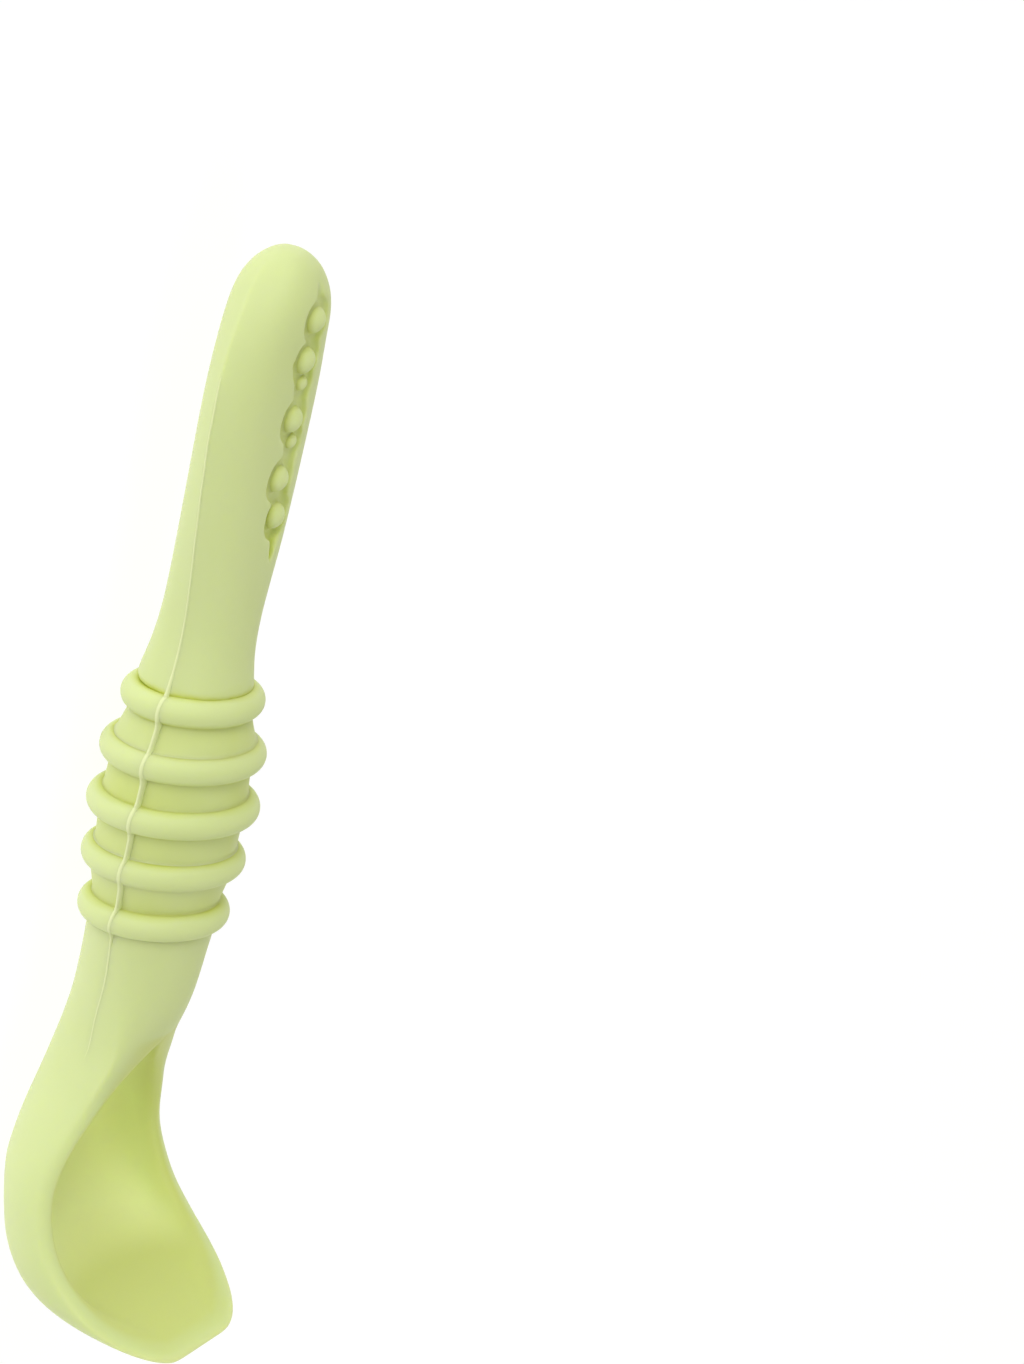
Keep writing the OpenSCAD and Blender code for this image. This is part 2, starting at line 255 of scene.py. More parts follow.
def finished(piece, slot, *nodes):
    """Smooths a piece, lets it ride with the spoon and stand for its CAD nodes."""
    only(piece)
    bpy.ops.object.shade_smooth()
    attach(piece, "root")
    if nodes:
        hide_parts(*nodes)
    low = [round(min(v.co[i] for v in piece.data.vertices) / MM, 1) for i in range(3)]
    high = [round(max(v.co[i] for v in piece.data.vertices) / MM, 1) for i in range(3)]
    print(piece.name, "from", low, "to", high, "mm,", len(piece.data.polygons), "faces")


# %% [markdown]
# ## Reading the CAD solids
#
# The sizes are all in the CAD model, so they are read from it and not typed again. A few small
# functions cut its solids across, find the widest place of a section, and tell the separate nubs of
# a node apart.

# %% Measure the CAD solids
NEARLY_WIDEST = 0.999
BESIDE_FROM, BESIDE_TO = 0.6, 0.8
NUB_GAP = 0.3 * MM


def cut(name, x):
    """Points where the edges of a CAD node cross the plane at x."""
    mesh = frame["nodes"][name].data
    points = []
    for edge in mesh.edges:
        a, b = (mesh.vertices[i].co for i in edge.vertices)
        if (a.x - x) * (b.x - x) < 0:
            points.append(a.lerp(b, (x - a.x) / (b.x - a.x)))
    return points


def widest(name, x):
    """Half width of a CAD node at x, and the height at which it is that wide."""
    points = cut(name, x)
    half = max(point.y for point in points)
    level = [point.z for point in points if point.y > NEARLY_WIDEST * half]
    return half, (max(level) + min(level)) / 2


def middle_height(points):
    """Height of the middle of a section, read beside any recess."""
    half = max(point.y for point in points)
    beside = [point.z for point in points if BESIDE_FROM * half < point.y < BESIDE_TO * half]
    return (max(beside) + min(beside)) / 2


def islands(name):
    """Boxes of the separate solids in a node, from the handle's end on."""
    places = sorted((v.co for v in frame["nodes"][name].data.vertices), key=lambda co: co.x)
    groups = [[places[0]]]
    for place in places[1:]:
        if place.x - groups[-1][-1].x > NUB_GAP:
            groups.append([])
        groups[-1].append(place)
    return [
        (Vector([min(co[i] for co in group) for i in range(3)]),
         Vector([max(co[i] for co in group) for i in range(3)]))
        for group in groups
    ]


# %% Find the neck's axis and the axis of the rings
ring_names = ["ring_1", "ring_2", "ring_3", "ring_4", "ring_5"]
ring_middles = [(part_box(name)[0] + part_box(name)[1]) / 2 for name in ring_names]
neck_axis = (ring_middles[4] - ring_middles[0]).normalized()
neck_lean = math.atan2(neck_axis.z, neck_axis.x)
RING_LEAN = math.radians(6)
ring_tilt = neck_lean + RING_LEAN
ring_axis = Vector((math.cos(ring_tilt), 0, math.sin(ring_tilt)))
print("The neck rises by", round(math.degrees(neck_lean), 2), "degrees, the rings lean by",
      round(math.degrees(ring_tilt), 2))

# %% [markdown]
# ## The finish: matt silicone
#
# Soft silicone is matt, and light goes a few millimetres into it and comes out again, greener. That
# is why thin rims glow yellow-green and hollows look deeper in colour than ridges. Subsurface
# scattering gives the glow. The deeper colour in the creases and along the rim's inner edge is
# painted shade, and the paler lime deep in the cavity is painted light; both follow a value called
# "occlusion", which the last step measures for each point. Large soft clouds of colour and a very
# fine grain keep the skin from looking like flat paint, and the same grain dulls the shine a
# little.


# %% Choose the colours
LIME = (0.625, 0.70, 0.34)
DEEP_LIME = (0.575, 0.67, 0.26)
# Painted highlight: the parting line is a paler lime for the light that its thin ridge catches.
SEAM_PAINTED_HIGHLIGHT = (0.72, 0.78, 0.42)
# Painted shade in the creases: a darker, greener lime where the occlusion is high.
CREASE_PAINTED_SHADE = [(0.13, LIME), (0.6, (0.57, 0.64, 0.10))]
# Cavity: painted shade, a darker, greener lime, where the occlusion is low, and painted light, a
# paler lime, where it is high.
CAVITY_PAINTED_LIGHT_AND_SHADE = [
    (0.0, LIME), (0.12, (0.585, 0.645, 0.207)), (0.2, (0.665, 0.725, 0.275)),
    (0.3, (0.76, 0.82, 0.37)), (0.42, (0.80, 0.84, 0.40))
]
print("Colours for", len(CREASE_PAINTED_SHADE), "depths of crease and", len(CAVITY_PAINTED_LIGHT_AND_SHADE), "of the cavity")

# %% Mix the silicone
SCATTER = (1.0, 1.1, 0.45)
SHINE = 0.4
CLOUD_SCALE, CLOUD_DETAIL = 70, 3
CLOUD_FROM, CLOUD_TO = 0.3, 0.7
PALEST_SHARE = 0.75
GRAIN_SCALE, GRAIN_DETAIL = 2600, 2
ROUGH_FROM, ROUGH_TO = 0.52, 0.68
GRAIN_STRENGTH, GRAIN_HEIGHT = 0.12, 0.03 * MM


def silicone(name, colour, deep_colour, hollows, glow=0.6, depth=0.0014):
    """Matt, slightly translucent silicone with clouds, grain, and painted light and shade."""
    finish = bpy.data.materials.new(name)
    finish.use_nodes = True
    nodes, links = finish.node_tree.nodes, finish.node_tree.links
    shader = nodes["Principled BSDF"]
    shader.inputs["Subsurface Weight"].default_value = glow
    shader.inputs["Subsurface Scale"].default_value = depth
    shader.inputs["Subsurface Radius"].default_value = SCATTER
    shader.inputs["Specular IOR Level"].default_value = SHINE
    where = nodes.new("ShaderNodeTexCoord")
    clouds = nodes.new("ShaderNodeTexNoise")
    clouds.inputs["Scale"].default_value = CLOUD_SCALE
    clouds.inputs["Detail"].default_value = CLOUD_DETAIL
    links.new(where.outputs["Object"], clouds.inputs["Vector"])
    tint = nodes.new("ShaderNodeMix")
    tint.data_type = "RGBA"
    tint.inputs[6].default_value = (*deep_colour, 1)
    tint.inputs[7].default_value = (*colour, 1)
    spread = nodes.new("ShaderNodeMapRange")
    spread.inputs["From Min"].default_value = CLOUD_FROM
    spread.inputs["From Max"].default_value = CLOUD_TO
    spread.inputs["To Min"].default_value = PALEST_SHARE
    links.new(clouds.outputs["Fac"], spread.inputs["Value"])
    links.new(spread.outputs["Result"], tint.inputs[0])
    # Painted light and shade: the occlusion attribute mixes in a darker, greener lime in the
    # creases and a paler lime deep in the cavity.
    hollow = nodes.new("ShaderNodeAttribute")
    hollow.attribute_name = "hollow"
    painted_share = nodes.new("ShaderNodeMapRange")
    painted_share.inputs["From Min"].default_value = hollows[0][0]
    painted_share.inputs["From Max"].default_value = hollows[1][0]
    links.new(hollow.outputs["Fac"], painted_share.inputs["Value"])
    inside = nodes.new("ShaderNodeValToRGB")
    inside.color_ramp.elements.remove(inside.color_ramp.elements[0])
    for place, hollow_colour in hollows[1:]:
        inside.color_ramp.elements.new(place).color = (*hollow_colour, 1)
    inside.color_ramp.elements[-1].color = (*hollows[-1][1], 1)
    links.new(hollow.outputs["Fac"], inside.inputs["Fac"])
    inner = nodes.new("ShaderNodeMix")
    inner.data_type = "RGBA"
    links.new(inside.outputs["Color"], inner.inputs[7])
    links.new(painted_share.outputs["Result"], inner.inputs[0])
    links.new(tint.outputs[2], inner.inputs[6])
    links.new(inner.outputs[2], shader.inputs["Base Color"])
    grain = nodes.new("ShaderNodeTexNoise")
    grain.inputs["Scale"].default_value = GRAIN_SCALE
    grain.inputs["Detail"].default_value = GRAIN_DETAIL
    links.new(where.outputs["Object"], grain.inputs["Vector"])
    dull = nodes.new("ShaderNodeMapRange")
    dull.inputs["To Min"].default_value = ROUGH_FROM
    dull.inputs["To Max"].default_value = ROUGH_TO
    links.new(grain.outputs["Fac"], dull.inputs["Value"])
    links.new(dull.outputs["Result"], shader.inputs["Roughness"])
    skin = nodes.new("ShaderNodeBump")
    skin.inputs["Strength"].default_value = GRAIN_STRENGTH
    skin.inputs["Distance"].default_value = GRAIN_HEIGHT
    links.new(grain.outputs["Fac"], skin.inputs["Height"])
    links.new(skin.outputs["Normal"], shader.inputs["Normal"])
    print("Mixed", name)
    return finish


body_silicone = silicone("silicone_body", LIME, DEEP_LIME, CREASE_PAINTED_SHADE)
bowl_silicone = silicone("silicone_bowl", LIME, DEEP_LIME, CAVITY_PAINTED_LIGHT_AND_SHADE, glow=0.7, depth=0.002)
seam_painted_highlight_silicone = silicone("silicone_seam_painted_highlight", SEAM_PAINTED_HIGHLIGHT, SEAM_PAINTED_HIGHLIGHT, CREASE_PAINTED_SHADE, glow=0)

# %% [markdown]
# ## The handle
#
# The grip is a soft paddle that flares into the neck. A circle is stood at the handle's end and
# extruded from station to station. At each station its points are set to the CAD solid's section.
# The two columns of points at the sides get a crease, because the two halves of the mould meet
# there in an edge. That edge lies a little below the widest place. A subdivision surface then makes
# the skin smooth, and a soft-edged cutter takes out the scalloped recess.

# %% Say where the mould's halves meet
SEAM_DROPS = [
    (-59, 1.0), (-44, 0.6), (-20, 0.3), (-11, 0), (0, 0.1),
    (12, 0.6), (20.5, 1.3), (26, 3.0), (33, 3.1)
]


def seam_drop(x):
    """How far the parting edge lies below the widest place at x."""
    place = x / MM
    for (a, drop_a), (b, drop_b) in zip(SEAM_DROPS, SEAM_DROPS[1:]):
        if place <= b:
            return (drop_a + (drop_b - drop_a) * max(0, place - a) / (b - a)) * MM
    return SEAM_DROPS[-1][1] * MM


print("Drop of the edge at the handle's end, mm:", seam_drop(-59 * MM) / MM)

# %% Read the handle's sections
AROUND = 24
MOULD_DRAFT = {1: 0.955, 2: 0.985}
ROOT_TUCK = 1.4 * MM
handle_low, handle_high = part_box("handle")
handle_reach = handle_high.x - handle_low.x
handle_shares = [0.003, 0.012, 0.03, 0.055, 0.09, 0.14, 0.2, 0.27, 0.35, 0.43, 0.51,
                 0.59, 0.67, 0.75, 0.82, 0.88, 0.93, 0.97, 0.99]


def handle_radius(points, middle, angle):
    """Distance from the section's middle to its skin, read on the uncut lower half."""
    lower = sorted(
        (math.atan2(abs(p.z - middle), abs(p.y)), math.hypot(p.y, p.z - middle))
        for p in points if p.z < middle + 0.01 * MM
    )
    turn = abs(math.atan2(abs(math.sin(angle)), abs(math.cos(angle))))
    for (a, ra), (b, rb) in zip(lower, lower[1:]):
        if a <= turn <= b:
            return ra if b == a else ra + (rb - ra) * (turn - a) / (b - a)
    return lower[0][1] if turn < lower[0][0] else lower[-1][1]


# %% Extrude the handle from its end to its root
CAGE_ALLOWANCE = 1.0115
bpy.ops.object.select_all(action="DESELECT")
bpy.ops.mesh.primitive_circle_add(
    vertices=AROUND, radius=1 * MM, fill_type="NGON",
    location=(handle_low.x, 0, 0), rotation=(0, math.radians(90), 0))
handle = added("handle_skin")
rest_place(handle)
bpy.ops.object.mode_set(mode="EDIT")
bpy.ops.mesh.select_all(action="SELECT")
mesh = bmesh.from_edit_mesh(handle.data)
column = mesh.verts.layers.int.new("column")
for vertex in mesh.verts:
    vertex[column] = round(math.atan2(vertex.co.z, vertex.co.y) / math.tau * AROUND) % AROUND
bmesh.update_edit_mesh(handle.data)
for number, share in enumerate(handle_shares):
    x = handle_low.x + share * handle_reach
    if number:
        bpy.ops.mesh.extrude_region_move(TRANSFORM_OT_translate={"value": (1 * MM, 0, 0)})
    points = cut("handle", x)
    middle = middle_height(points)
    lower_seam = seam_drop(x) / max(point.y for point in points) if share > 0.02 else 0
    mesh = bmesh.from_edit_mesh(handle.data)
    column = mesh.verts.layers.int["column"]
    for vertex in mesh.verts:
        if vertex.select:
            angle = vertex[column] * math.tau / AROUND
            side = math.cos(angle)
            angle -= math.copysign(lower_seam * side ** 6, side)
            turns = min(vertex[column], AROUND - vertex[column], abs(vertex[column] - AROUND // 2))
            draft = MOULD_DRAFT.get(turns, 1)
            reach = handle_radius(points, middle, angle) * CAGE_ALLOWANCE * draft
            vertex.co = (x, reach * math.cos(angle), middle + reach * math.sin(angle))
    bmesh.update_edit_mesh(handle.data)
bpy.ops.mesh.extrude_region_move(TRANSFORM_OT_translate={"value": (ROOT_TUCK, 0, 0)})
bpy.ops.object.mode_set(mode="OBJECT")
print("Handle cage:", len(handle.data.vertices), "points")

# %% Crease the mould's parting edge and smooth the skin
only(handle)
bpy.ops.object.mode_set(mode="EDIT")
bpy.ops.mesh.select_all(action="SELECT")
bpy.ops.mesh.normals_make_consistent(inside=False)
mesh = bmesh.from_edit_mesh(handle.data)
column = mesh.verts.layers.int["column"]
crease = mesh.edges.layers.float.new("crease_edge")
for edge in mesh.edges:
    a, b = edge.verts
    if a[column] == b[column] and a[column] in (0, AROUND // 2):
        edge[crease] = 1.0
bmesh.update_edit_mesh(handle.data)
bpy.ops.object.mode_set(mode="OBJECT")
apply_modifier(handle, "SUBSURF", levels=3, render_levels=3)
print("Handle skin:", len(handle.data.polygons), "faces")

# %% [markdown]
# ### The recess for the nubs
#
# On the real handle the recess is a chain of soft scallops, one round each nub, with a pointed tail
# at both ends. The cutter copies that: a cylinder for each scallop, a long bar through the middle,
# all joined and rounded by a voxel remesh. After the cut, the domes of the nubs are merged into the
# recess and the handle is remeshed finely as well. Smoothing then gives the edge of the recess and
# the feet of the nubs the softness that silicone always has.

# %% Make the cutter
large_nubs, small_nubs = islands("large_nubs"), islands("small_nubs")
recess_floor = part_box("large_nubs")[0].z
RECESS_MARGIN = 1.0 * MM
CUTTER_HEIGHT = 4 * MM
BAR_HALF_WIDTH = 1.35 * MM
TAIL, TAIL_WIDTH = 5.0 * MM, 0.08

bpy.ops.object.select_all(action="DESELECT")
scallops = []
for low, high in large_nubs + small_nubs:
    middle = (low + high) / 2
    bpy.ops.mesh.primitive_cylinder_add(
        vertices=64, radius=(high.x - low.x) / 2 + RECESS_MARGIN, depth=CUTTER_HEIGHT,
        location=(middle.x, middle.y, recess_floor + CUTTER_HEIGHT / 2))
    scallops.append(bpy.context.active_object)
first = (large_nubs[0][0] + large_nubs[0][1]) / 2
last = (large_nubs[-1][0] + large_nubs[-1][1]) / 2
bpy.ops.mesh.primitive_cube_add(
    size=1,
    location=((first.x + last.x) / 2, (first.y + last.y) / 2, recess_floor + CUTTER_HEIGHT / 2),
    rotation=(0, 0, math.atan2(last.y - first.y, last.x - first.x)),
    scale=((last - first).length, 2 * BAR_HALF_WIDTH, CUTTER_HEIGHT))
bar = bpy.context.active_object
rest_place(bar)
bar_places = [vertex.co.x for vertex in bar.data.vertices]
for end, way in ((min(bar_places), -1), (max(bar_places), 1)):
    only(bar)
    bpy.ops.object.mode_set(mode="EDIT")
    pick(bar, lambda co: abs(co.x - end) < 0.3 * MM)
    bpy.ops.mesh.extrude_region_move(TRANSFORM_OT_translate={"value": (way * TAIL, 0, 0)})
    bpy.ops.transform.resize(value=(1, TAIL_WIDTH, 1))
    bpy.ops.object.mode_set(mode="OBJECT")
only(bar)
for scallop in scallops:
    scallop.select_set(True)
bpy.ops.object.join()
cutter = added("recess_cutter")
rest_place(cutter)
apply_modifier(cutter, "REMESH", mode="VOXEL", voxel_size=0.15 * MM)
apply_modifier(cutter, "SMOOTH", factor=0.5, iterations=6)
print("Cutter:", len(cutter.data.polygons), "faces")

# %% Model one nub, to be used for the feet and for the visible tops
FOOT_DEPTH = 0.35


def nub(low, high):
    """The dome of one CAD nub, which goes on below its foot by a share of its height."""
    middle = (low + high) / 2
    radius, height = (high.x - low.x) / 2, high.z - low.z
    ball = (radius ** 2 + height ** 2) / (2 * height)
    bpy.ops.object.select_all(action="DESELECT")
    bpy.ops.mesh.primitive_uv_sphere_add(
        segments=48, ring_count=40, radius=ball, location=(middle.x, middle.y, high.z - ball))
    dome = bpy.context.active_object
    rest_place(dome)
    bpy.ops.object.mode_set(mode="EDIT")
    bpy.ops.mesh.select_all(action="SELECT")
    bpy.ops.mesh.bisect(
        plane_co=(middle.x, middle.y, low.z - FOOT_DEPTH * height), plane_no=(0, 0, 1),
        clear_inner=True, use_fill=True)
    bpy.ops.mesh.select_all(action="SELECT")
    bpy.ops.mesh.normals_make_consistent(inside=False)
    bpy.ops.object.mode_set(mode="OBJECT")
    return dome


def nub_row(boxes):
    """A row of domes, joined into one object."""
    domes = [nub(low, high) for low, high in boxes]
    only(domes[0])
    for dome in domes[1:]:
        dome.select_set(True)
    bpy.ops.object.join()
    return bpy.context.active_object


feet = nub_row(large_nubs + small_nubs)
print("Feet of the nubs:", len(feet.data.polygons), "faces")

# %% Cut the recess and soften its edge
RECESS_HALF_WIDTH, UNDER_RECESS = 4.5 * MM, 0.5 * MM
RECESS_SMOOTHING = 9


def near_recess(co):
    """Whether a place of the handle lies at the height and in the width of the recess."""
    return co.z > recess_floor - UNDER_RECESS and abs(co.y) < RECESS_HALF_WIDTH


apply_modifier(handle, "BOOLEAN", operation="DIFFERENCE", solver="EXACT", object=cutter)
bpy.data.objects.remove(cutter)
apply_modifier(handle, "BOOLEAN", operation="UNION", solver="EXACT", object=feet)
bpy.data.objects.remove(feet)
apply_modifier(handle, "REMESH", mode="VOXEL", voxel_size=0.19 * MM)
apply_modifier(handle, "SMOOTH", factor=0.5, iterations=2)
recess_low, recess_high = large_nubs[0][0], large_nubs[-1][1]
only(handle)
bpy.ops.object.mode_set(mode="EDIT")
pick(handle, lambda co: near_recess(co) and recess_low.x - TAIL < co.x < recess_high.x + TAIL)
bpy.ops.mesh.vertices_smooth(factor=0.5, repeat=RECESS_SMOOTHING)
bpy.ops.object.mode_set(mode="OBJECT")
handle.data.materials.append(body_silicone)
finished(handle, "silicone_body", "handle")

# %% [markdown]
# ## The teething nubs
#
# Each nub is a low dome: the top of a sphere. The visible nubs stand in the places of the CAD's.
# Their feet are buried, because the same domes were merged into the handle's skin. So a nub rises
# from a softly rounded foot, and no sharp line runs round it.

# %% Set the visible nubs on their feet
for name, boxes in (("large_nubs", large_nubs), ("small_nubs", small_nubs)):
    row = nub_row(boxes)
    row.name = row.data.name = name + "_soft"
    row.data.materials.append(body_silicone)
    finished(row, "silicone_nubs", name)

# %% [markdown]
# ## The neck
#
# The neck is a turned core, a little thicker in the middle. A circle is stood where the handle ends
# and extruded along the neck's axis, from station to station. Next to each ring it swells for a
# fraction of a millimetre: that is the fillet that the mould leaves at the foot of every ring. The
# circle leans as the rings do, so that the fillets follow them all the way round.

# %% Read the core's radius off the CAD
ON_AXIS = 1 * MM


def along_and_out(co):
    """Place along the neck's axis, from the first ring on, and distance from the axis."""
    arm = co - ring_middles[0]
    along = arm.dot(neck_axis)
    return along, (arm - along * neck_axis).length


corners = sorted({
    (round(along / MM, 2), round(out / MM, 2))
    for along, out in (along_and_out(v.co) for v in frame["nodes"]["neck"].data.vertices)
    if out > ON_AXIS
})
print("Corners of the core, mm:", corners)


def core_radius(along):
    """Radius of the core at a place along it."""
    for (a, ra), (b, rb) in zip(corners, corners[1:]):
        if a * MM <= along <= b * MM and b > a:
            return (ra + (rb - ra) * (along / MM - a) / (b - a)) * MM
    return (corners[0][1] if along < 0 else corners[-1][1]) * MM


# %% Extrude the neck with a fillet at each ring
RING_HALF = 1.46 * MM
RING_REACH = 1.5 * MM
FILLET = 0.2 * MM
CORE_TUCK = 1.2 * MM
ring_places = [along_and_out(middle)[0] for middle in ring_middles]
stations = []
for place in ring_places:
    for step, share in ((-2.1, 0), (-1.1, 0.07), (-0.45, 0.3), (0, 1)):
        stations.append((place - RING_HALF + step * FILLET, share * FILLET))
    for step, share in ((0, 1), (0.45, 0.3), (1.1, 0.07), (2.1, 0)):
        stations.append((place + RING_HALF + step * FILLET, share * FILLET))
core_from, core_to = ring_places[0] - CORE_TUCK, ring_places[4] + CORE_TUCK
stations = [station for station in stations if core_from < station[0] < core_to]
stations = [(core_from, 0)] + stations + [(core_to, 0)]
print("Stations along the core:", len(stations))

bpy.ops.object.select_all(action="DESELECT")
start = ring_middles[0] + stations[0][0] * neck_axis
bpy.ops.mesh.primitive_circle_add(
    vertices=128, radius=core_radius(stations[0][0]), fill_type="NGON",
    location=start, rotation=(0, math.radians(90) - ring_tilt, 0))
neck = added("neck_core")
rest_place(neck)
bpy.ops.object.mode_set(mode="EDIT")
bpy.ops.mesh.select_all(action="SELECT")
for (a, lift_a), (b, lift_b) in zip(stations, stations[1:]):
    bpy.ops.mesh.extrude_region_move(TRANSFORM_OT_translate={"value": tuple((b - a) * neck_axis)})
    grow = (core_radius(b) + lift_b) / (core_radius(a) + lift_a)
    bpy.ops.transform.resize(value=(grow,) * 3, center_override=ring_middles[0] + b * neck_axis)
bpy.ops.mesh.select_all(action="SELECT")
bpy.ops.mesh.normals_make_consistent(inside=False)
bpy.ops.object.mode_set(mode="OBJECT")
neck.data.materials.append(body_silicone)
finished(neck, "silicone_body", "neck")

# %% [markdown]
# ## The five rings
#
# A ring is a round bead. A small circle is set on the neck's skin and spun once round an axis
# through the middle of the neck. In the photograph the rings don't stand quite square to the neck:
# they lean by about 6 degrees, so the axis of the spin leans by as much, where the CAD's rings are
# square. The second and third ring touch the table, so they are cut flat there, as the CAD model
# says.

# %% Spin the rings
for name, middle in zip(ring_names, ring_middles):
    place = along_and_out(middle)[0]
    middle = ring_middles[0] + place * neck_axis
    outer = max(along_and_out(v.co)[1] for v in frame["nodes"][name].data.vertices)
    side = Vector((0, 1, 0))
    bpy.ops.object.select_all(action="DESELECT")
    bpy.ops.mesh.primitive_circle_add(
        vertices=40, radius=RING_REACH, location=middle + (outer - RING_REACH) * side)
    ring = added(name + "_bead")
    bpy.ops.object.mode_set(mode="EDIT")
    bpy.ops.mesh.select_all(action="SELECT")
    bpy.ops.transform.rotate(
        value=ring_tilt, orient_axis="Y", center_override=middle + (outer - RING_REACH) * side)
    bpy.ops.mesh.spin(steps=144, angle=math.tau, center=middle, axis=ring_axis)
    bpy.ops.mesh.select_all(action="SELECT")
    bpy.ops.mesh.remove_doubles(threshold=0.001 * MM)
    bpy.ops.mesh.normals_make_consistent(inside=False)
    bpy.ops.mesh.bisect(
        plane_co=(0, 0, 0), plane_no=(0, 0, 1), clear_inner=True, use_fill=True,
        threshold=0.001 * MM)
    bpy.ops.object.mode_set(mode="OBJECT")
    rest_place(ring)
    ring.data.materials.append(body_silicone)
    finished(ring, "silicone_rings", name)

# %% [markdown]
# ## The bowl
#
# The bowl is a free form: a round throat that flattens, opens and closes again in a thick tip. The
# CAD solid already holds it as rows of points. Its mesh is copied, welded and turned back into
# quads, and a subdivision surface draws a smooth skin over them. Drawn anew by hand, it would only
# be less true. Where the cavity starts, two surfaces meet in a pointed crest, so its edges get a
# crease that keeps them crisp. The inside of the cavity is then smoothed, because the turn from its
# floor to its front wall is softer on the real spoon. Which points are inside is told by how
# squarely they face its middle.

# %% Weld a copy of the CAD bowl and tuck its start into the last ring
THROAT_TUCK = 1.4 * MM
CREST_STARTS, CREST_ENDS = 27 * MM, 38 * MM
bowl = bpy.data.objects.new("bowl_skin", frame["nodes"]["bowl"].data.copy())
bpy.context.scene.collection.objects.link(bowl)
only(bowl)
bpy.ops.object.mode_set(mode="EDIT")
bpy.ops.mesh.select_all(action="SELECT")
bpy.ops.mesh.remove_doubles(threshold=0.001 * MM)
bpy.ops.mesh.tris_convert_to_quads(
    face_threshold=math.pi, shape_threshold=math.pi, topology_influence=2)
bpy.ops.mesh.normals_make_consistent(inside=False)
bowl_start = min(along_and_out(vertex.co)[0] for vertex in bowl.data.vertices)
pick(bowl, lambda co: along_and_out(co)[0] < bowl_start + 0.05 * MM)
bpy.ops.mesh.extrude_region_move(TRANSFORM_OT_translate={"value": tuple(-THROAT_TUCK * neck_axis)})
print("Bowl cage:", len(bmesh.from_edit_mesh(bowl.data).faces), "faces")

# %% Sharpen the crest where the cavity starts
CREST_ANGLE = math.radians(32)
CREST_CREASE = 0.75

bpy.ops.mesh.select_mode(type="EDGE")
bpy.ops.mesh.select_all(action="DESELECT")
bpy.ops.mesh.edges_select_sharp(sharpness=CREST_ANGLE)
mesh = bmesh.from_edit_mesh(bowl.data)
for edge in mesh.edges:
    middle = (edge.verts[0].co + edge.verts[1].co) / 2
    if edge.select and not CREST_STARTS < middle.x < CREST_ENDS:
        edge.select = False
bmesh.update_edit_mesh(bowl.data)
print("Crest:", sum(edge.select for edge in mesh.edges), "sharp edges")
bpy.ops.transform.edge_crease(value=CREST_CREASE)
bpy.ops.object.mode_set(mode="OBJECT")
apply_modifier(bowl, "SUBSURF", levels=2, render_levels=2)

# %% Soften the inside of the cavity
CAVITY_MIDDLE = Vector((48, 0, 12)) * MM
INSIDE_FROM = 0.3
CAVITY_SMOOTHING = 40


def inwardness(vertex):
    """How squarely a point of the bowl faces the middle of the cavity."""
    if vertex.co.x < CREST_STARTS:
        return 0
    return (CAVITY_MIDDLE - vertex.co).normalized().dot(vertex.normal)


only(bowl)
bpy.ops.object.mode_set(mode="EDIT")
bpy.ops.mesh.select_mode(type="VERT")
bpy.ops.mesh.select_all(action="DESELECT")
mesh = bmesh.from_edit_mesh(bowl.data)
mesh.normal_update()
for vertex in mesh.verts:
    vertex.select = inwardness(vertex) > INSIDE_FROM
mesh.select_flush(True)
bmesh.update_edit_mesh(bowl.data)
bpy.ops.mesh.vertices_smooth(factor=0.5, repeat=CAVITY_SMOOTHING)
bpy.ops.object.mode_set(mode="OBJECT")
bowl.data.materials.clear()
bowl.data.materials.append(bowl_silicone)
finished(bowl, "silicone_bowl", "bowl")

# %% [markdown]
# ## The parting line
#
# Where the mould's halves meet, a hair-thin pale ridge runs along both sides, over the rings and
# down the throat; its paleness is a painted highlight, for the light that the thin ridge catches.
# It
# is laid like a ribbon: a long grid is stood beside the spoon, bent to the height of the parting
# edge, pressed on the skin with a shrinkwrap, and lifted by less than a tenth of a millimetre in
# its middle. Over the grooves between the rings it doesn't go down all the way,
# but stands out as a small fin. Near the handle's end and below the throat it sinks back into the
# skin.

# %% Find the height of the line along the spoon
LINE_FROM, LINE_TO = -47.5 * MM, 36 * MM
LINE_STEP = 0.1 * MM
LEVEL_STEP = 1.5 * MM
neck_from, neck_to = ring_middles[0].x, ring_middles[4].x


def seam_level(x):
    """Height of the parting edge at x."""
    if x < neck_from - 1.6 * MM:
        level = middle_height(cut("handle", x))
    elif x < neck_to + 1.6 * MM:
        level = ring_middles[0].z + (x - ring_middles[0].x) * math.tan(neck_lean)
    else:
        level = widest("bowl", x)[1]
    return level - seam_drop(x)


level_count = round((LINE_TO - LINE_FROM) / LEVEL_STEP) + 3
levels = [seam_level(LINE_FROM + (i - 1) * LEVEL_STEP) for i in range(level_count)]
softer = [(a + 2 * b + c) / 4 for a, b, c in zip(levels, levels[1:], levels[2:])]
levels = [levels[0]] + softer + [levels[-1]]


def smooth_level(x):
    """The same height, read between the smoothed steps."""
    place = min(max((x - LINE_FROM) / LEVEL_STEP + 1, 0), level_count - 1.001)
    i = int(place)
    return levels[i] + (levels[i + 1] - levels[i]) * (place - i)


print("The line's height, mm:", [round(smooth_level(x * MM) / MM, 1) for x in range(-45, 37, 10)])

# %% Join a copy of the skins to press the line on
only(handle)
for piece in bpy.data.objects:
    if piece.name in ("neck_core", "bowl_skin") or piece.name.endswith("_bead"):
        piece.select_set(True)
bpy.ops.object.duplicate()
bpy.context.view_layer.objects.active = bpy.context.selected_objects[0]
bpy.ops.object.join()
press = bpy.context.active_object
press.name = "press"
print("Skins to press on:", len(press.data.polygons), "faces")

